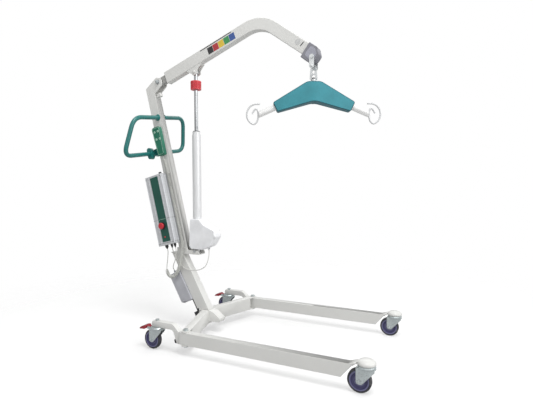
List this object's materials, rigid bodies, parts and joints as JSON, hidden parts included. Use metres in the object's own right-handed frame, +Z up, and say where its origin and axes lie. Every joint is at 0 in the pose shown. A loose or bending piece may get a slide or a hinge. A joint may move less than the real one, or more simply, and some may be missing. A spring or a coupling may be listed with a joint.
{
  "type": "patient lift hoist",
  "caption": "Mobile patient lift: castored base with spreading legs, leaning mast, electric boom actuator and a swivelling spreader bar with sling hooks.",
  "frame": {"origin": "on the floor under the middle of the object's bounding box, cords and plugs aside", "axes": "+Z up from the floor, +X towards the front castors and the free ends of the legs, +Y to the left leg"},
  "size_m": [1.457, 0.782, 1.7235],
  "materials": {
    "frame": "warm white powder coat",
    "zinc": "bright zinc plate",
    "steel": "galvanised or polished steel",
    "tyre": "soft dark grey tread",
    "core": "moulded grey violet",
    "red": "moulded red",
    "black": "moulded black",
    "linkage": "black paint",
    "teal": "moulded teal",
    "handle": "glossy teal green coat",
    "handset": "moulded green",
    "key": "pale keypad",
    "label": "dark green panel",
    "silver": "satin",
    "cap": "moulded grey",
    "housing": "moulded light grey",
    "lead": "flexible light grey sheath"
  },
  "bodies": {
    "base": {"cross_member": "frame", "lower_mast": "frame", "actuator_bracket": "frame", "actuator_foot_pin": "steel", "upper_mast": "frame", "boom_pivot_bolt": "steel", "handle": "handle", "handle_clamp": "handle", "control_box": "silver", "box_mount": "black", "box_label": "label", "plug_handset": "black", "plug_lift": "black", "plug_legs": "black", "handset": "handset", "handset_cord": "lead", "lift_lead": "lead", "leg_lead": "lead", "leg_actuator_housing": "housing", "leg_hinge_pin_left": "zinc", "leg_hinge_pin_right": "zinc"},
    "leg_left_arm": {"leg_left": "frame"},
    "leg_right_arm": {"leg_right": "frame"},
    "leg_drive": {"leg_actuator_rod": "linkage"},
    "tie_left": {"tie_rod_left": "linkage"},
    "tie_right": {"tie_rod_right": "linkage"},
    "boom_arm": {"boom": "frame", "boom_bracket": "frame", "boom_end_cap": "cap", "hanger_pin": "steel"},
    "lift_cylinder": {"lift_actuator_housing": "housing", "lift_actuator_tube": "silver"},
    "lift_piston": {"lift_rod": "steel"},
    "collar": {"lowering_collar": "red"},
    "hanger": {"hanger_shackle": "steel"},
    "link": {"hanger_strap": "steel"},
    "spreader": {"swivel_bolt": "linkage", "spreader_bar": "frame", "spreader_cover": "teal", "hook_front": "steel", "hook_rear": "steel"},
    "stop_button": {"emergency_stop": "red"},
    "key_up": {"button_up": "key"},
    "key_down": {"button_down": "key"},
    "key_legs_open": {"button_legs_open": "key"},
    "key_legs_close": {"button_legs_close": "key"},
    "castor_front_left": {"castor_fork_front_left": "zinc"},
    "wheel_front_left": {"tyre_front_left": "tyre", "wheel_core_front_left": "core"},
    "castor_rear_left": {"castor_fork_rear_left": "zinc"},
    "wheel_rear_left": {"tyre_rear_left": "tyre", "wheel_core_rear_left": "core"},
    "pedal_left": {"brake_pedal_rear_left": "red"},
    "castor_front_right": {"castor_fork_front_right": "zinc"},
    "wheel_front_right": {"tyre_front_right": "tyre", "wheel_core_front_right": "core"},
    "castor_rear_right": {"castor_fork_rear_right": "zinc"},
    "wheel_rear_right": {"tyre_rear_right": "tyre", "wheel_core_rear_right": "core"},
    "pedal_right": {"brake_pedal_rear_right": "red"}
  },
  "joints": [
    {"name": "boom_lift", "type": "hinge", "parent": "base", "child": "boom_arm", "pos_m": [-0.63552, 0, 1.462], "axis": [0, 1, 0], "range_deg": [-6, 50]},
    {"name": "lift_tilt", "type": "hinge", "parent": "base", "child": "lift_cylinder", "pos_m": [-0.37452, 0, 0.458], "axis": [0, 1, 0], "range_deg": [-3.7, 0.5]},
    {"name": "lift_extend", "type": "slide", "parent": "lift_cylinder", "child": "lift_piston", "axis": [0, 0, 1], "range_m": [-0.215, 0.026]},
    {"name": "collar_pull", "type": "slide", "parent": "lift_piston", "child": "collar", "axis": [0, 0, 1], "range_m": [0, 0.012], "stiffness_N_per_m": 300},
    {"name": "hanger_level", "type": "hinge", "parent": "boom_arm", "child": "hanger", "pos_m": [0.3435, 0, 1.47484], "axis": [0, 1, 0], "range_deg": [-50.1, 6.1]},
    {"name": "hanger_swing", "type": "hinge", "parent": "hanger", "child": "link", "pos_m": [0.3435, 0, 1.42884], "axis": [0, 1, 0], "range_deg": [-15, 15]},
    {"name": "bar_swivel", "type": "hinge", "parent": "link", "child": "spreader", "pos_m": [0.3435, 0, 1.36884], "axis": [0, 0, 1], "continuous": true},
    {"name": "leg_left_spread", "type": "hinge", "parent": "base", "child": "leg_left_arm", "pos_m": [-0.19852, 0.353, 0.085], "axis": [0, 0, 1], "range_deg": [0, 11]},
    {"name": "leg_right_spread", "type": "hinge", "parent": "base", "child": "leg_right_arm", "pos_m": [-0.19852, -0.353, 0.085], "axis": [0, 0, 1], "range_deg": [-11, 0]},
    {"name": "leg_drive_slide", "type": "slide", "parent": "base", "child": "leg_drive", "axis": [-0.4924, 0, 0.8704], "range_m": [0, 0.0283]},
    {"name": "tie_left_turn", "type": "hinge", "parent": "leg_drive", "child": "tie_left", "pos_m": [-0.3669, 0.022, 0.074], "axis": [-0.6882, 0.2629, -0.6762], "range_deg": [0, 6]},
    {"name": "tie_right_turn", "type": "hinge", "parent": "leg_drive", "child": "tie_right", "pos_m": [-0.3669, -0.022, 0.074], "axis": [0.6882, 0.2629, 0.6762], "range_deg": [0, 6]},
    {"name": "stop_press", "type": "slide", "parent": "base", "child": "stop_button", "axis": [0, 1, 0], "range_m": [0, 0.005]},
    {"name": "press_up", "type": "slide", "parent": "base", "child": "key_up", "axis": [0, 1, 0], "range_m": [0, 0.0012], "stiffness_N_per_m": 400},
    {"name": "press_down", "type": "slide", "parent": "base", "child": "key_down", "axis": [0, 1, 0], "range_m": [0, 0.0012], "stiffness_N_per_m": 400},
    {"name": "press_legs_open", "type": "slide", "parent": "base", "child": "key_legs_open", "axis": [0, 1, 0], "range_m": [0, 0.0012], "stiffness_N_per_m": 400},
    {"name": "press_legs_close", "type": "slide", "parent": "base", "child": "key_legs_close", "axis": [0, 1, 0], "range_m": [0, 0.0012], "stiffness_N_per_m": 400},
    {"name": "swivel_front_left", "type": "hinge", "parent": "leg_left_arm", "child": "castor_front_left", "pos_m": [0.69048, 0.353, 0.118], "axis": [0, 0, 1], "continuous": true},
    {"name": "roll_front_left", "type": "hinge", "parent": "castor_front_left", "child": "wheel_front_left", "pos_m": [0.66148, 0.353, 0.05], "axis": [0, 1, 0], "continuous": true},
    {"name": "swivel_rear_left", "type": "hinge", "parent": "leg_left_arm", "child": "castor_rear_left", "pos_m": [-0.37652, 0.353, 0.118], "axis": [0, 0, 1], "continuous": true},
    {"name": "roll_rear_left", "type": "hinge", "parent": "castor_rear_left", "child": "wheel_rear_left", "pos_m": [-0.40552, 0.353, 0.05], "axis": [0, 1, 0], "continuous": true},
    {"name": "brake_left", "type": "hinge", "parent": "castor_rear_left", "child": "pedal_left", "pos_m": [-0.42652, 0.353, 0.108], "axis": [0, -1, 0], "range_deg": [0, 15]},
    {"name": "swivel_front_right", "type": "hinge", "parent": "leg_right_arm", "child": "castor_front_right", "pos_m": [0.69048, -0.353, 0.118], "axis": [0, 0, 1], "continuous": true},
    {"name": "roll_front_right", "type": "hinge", "parent": "castor_front_right", "child": "wheel_front_right", "pos_m": [0.66148, -0.353, 0.05], "axis": [0, 1, 0], "continuous": true},
    {"name": "swivel_rear_right", "type": "hinge", "parent": "leg_right_arm", "child": "castor_rear_right", "pos_m": [-0.37652, -0.353, 0.118], "axis": [0, 0, 1], "continuous": true},
    {"name": "roll_rear_right", "type": "hinge", "parent": "castor_rear_right", "child": "wheel_rear_right", "pos_m": [-0.40552, -0.353, 0.05], "axis": [0, 1, 0], "continuous": true},
    {"name": "brake_right", "type": "hinge", "parent": "castor_rear_right", "child": "pedal_right", "pos_m": [-0.42652, -0.353, 0.108], "axis": [0, -1, 0], "range_deg": [0, 15]}
  ],
  "couplings": [
    {"joint": "lift_tilt", "follows": "boom_lift", "ratio": -0.0719},
    {"joint": "lift_extend", "follows": "boom_lift", "m_per_rad": -0.245},
    {"joint": "hanger_level", "follows": "boom_lift", "ratio": -1},
    {"joint": "leg_right_spread", "follows": "leg_left_spread", "ratio": -1},
    {"joint": "leg_drive_slide", "follows": "leg_left_spread", "m_per_rad": 0.146},
    {"joint": "tie_left_turn", "follows": "leg_left_spread", "ratio": 0.53446},
    {"joint": "tie_right_turn", "follows": "leg_left_spread", "ratio": 0.53446}
  ]
}
